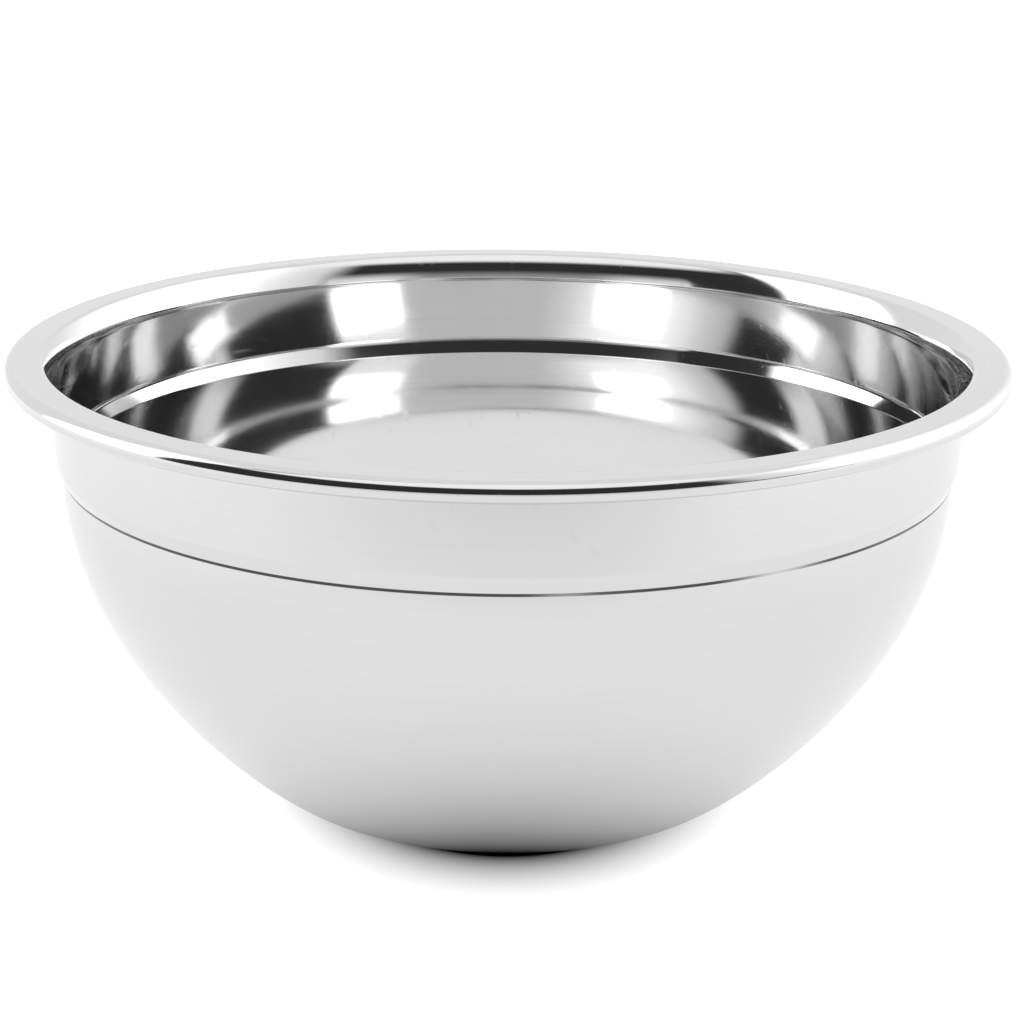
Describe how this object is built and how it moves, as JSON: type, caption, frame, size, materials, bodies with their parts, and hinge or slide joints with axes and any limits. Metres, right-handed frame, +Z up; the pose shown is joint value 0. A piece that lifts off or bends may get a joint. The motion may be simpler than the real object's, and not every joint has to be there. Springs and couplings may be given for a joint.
{
  "type": "mixing bowl",
  "caption": "Round bowl pressed from one sheet, with a flat rim rolled under at its edge, a shallow stepped collar, a rounded body and a flat base.",
  "frame": {"origin": "on the bowl's axis, at the underside of its flat base", "axes": "+Z up along the bowl's axis, out of the mouth; the bowl is round, so X and Y are alike"},
  "size_m": [0.28, 0.28, 0.126],
  "materials": {
    "polished_steel": "mirror-polished stainless steel, unplated, a little softer outside than inside"
  },
  "bodies": {
    "root": {"bowl_shell": "polished_steel"}
  },
  "joints": []
}
